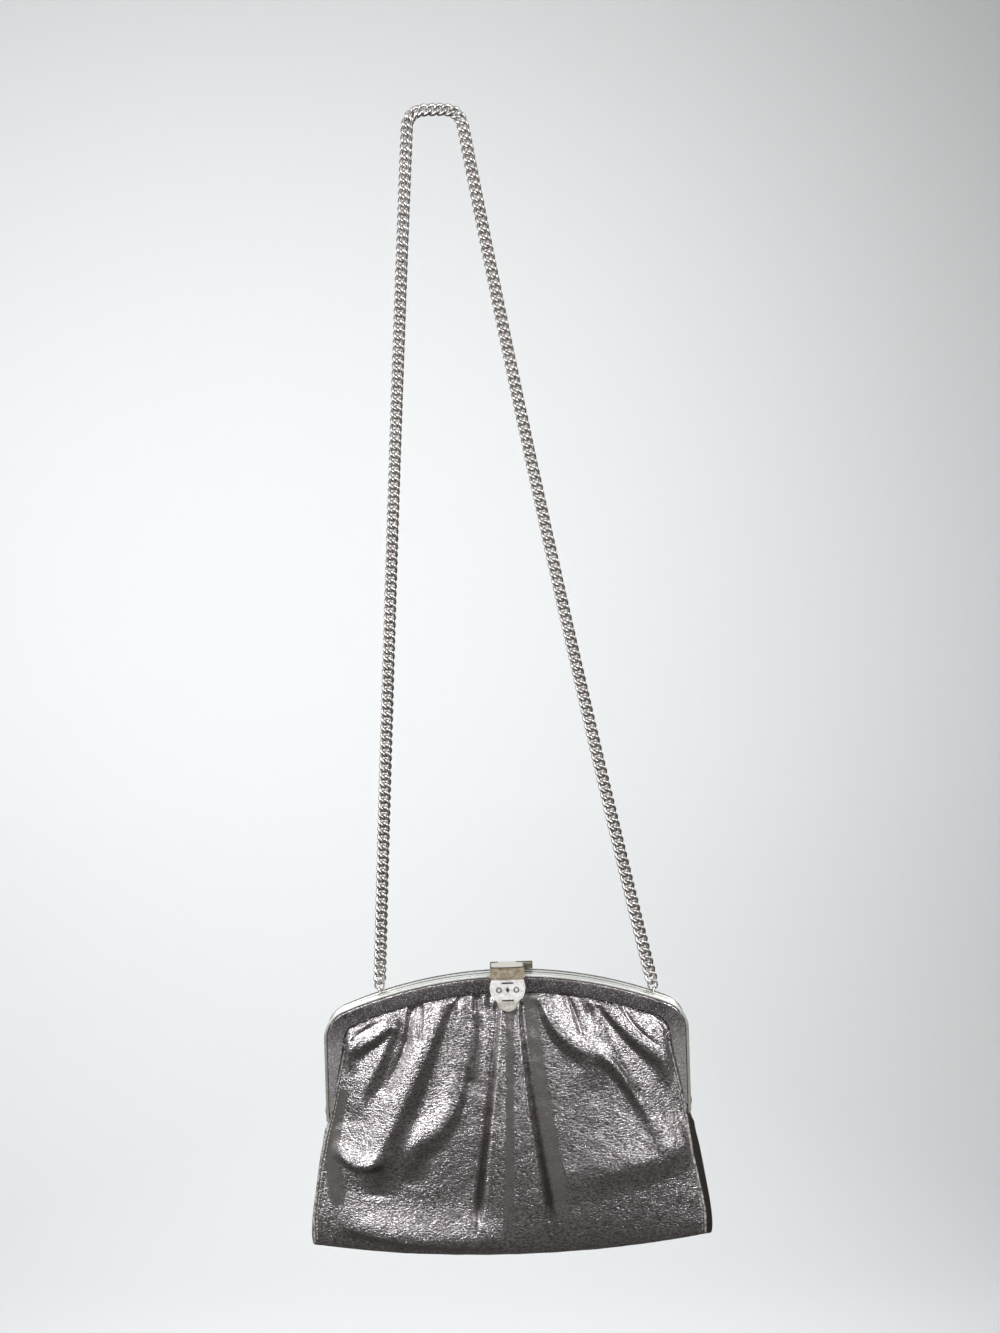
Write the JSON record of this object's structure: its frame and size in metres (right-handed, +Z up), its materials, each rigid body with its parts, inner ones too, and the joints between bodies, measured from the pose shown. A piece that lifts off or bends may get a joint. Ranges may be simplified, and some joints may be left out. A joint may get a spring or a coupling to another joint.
{
  "type": "evening clutch on a chain",
  "caption": "Small frame handbag of gathered pewter metallic leather with an arched silver frame, a flap clasp on top and a long curb chain to hang or carry it by.",
  "frame": {"origin": "where the chain hangs: the middle of the underside of its top run", "axes": "+Z up, front of the bag towards -Y, +X to the right as seen from the front"},
  "size_m": [0.2084, 0.0361, 0.6052],
  "materials": {
    "leather": "pewter metallic foil on finely crinkled leather",
    "frame_leather": "darker metallic leather, stretched smooth and finely speckled",
    "silver_metal": "bright silver plate, lightly worn",
    "worn_metal": "dull silver plate with tan tarnish"
  },
  "bodies": {
    "bag": {"front_panel": "leather", "back_panel": "leather", "gusset_left": "leather", "gusset_right": "leather", "frame_front_cover": "frame_leather", "frame_back_cover": "frame_leather", "frame_front_rail": "silver_metal", "frame_back_rail": "silver_metal", "hinge_rivet_left": "silver_metal", "hinge_rivet_right": "silver_metal", "clasp_base": "worn_metal", "clasp_stud": "worn_metal", "chain_ring_left": "silver_metal", "chain_ring_right": "silver_metal", "chain_left": "silver_metal", "chain_right": "silver_metal"},
    "clasp": {"clasp_flap": "silver_metal"}
  },
  "joints": [
    {"name": "clasp_lift", "type": "hinge", "parent": "bag", "child": "clasp", "pos_m": [0.0254, 0.00155, -0.4494], "axis": [-1, 0, 0], "range_deg": [0, 100]}
  ]
}
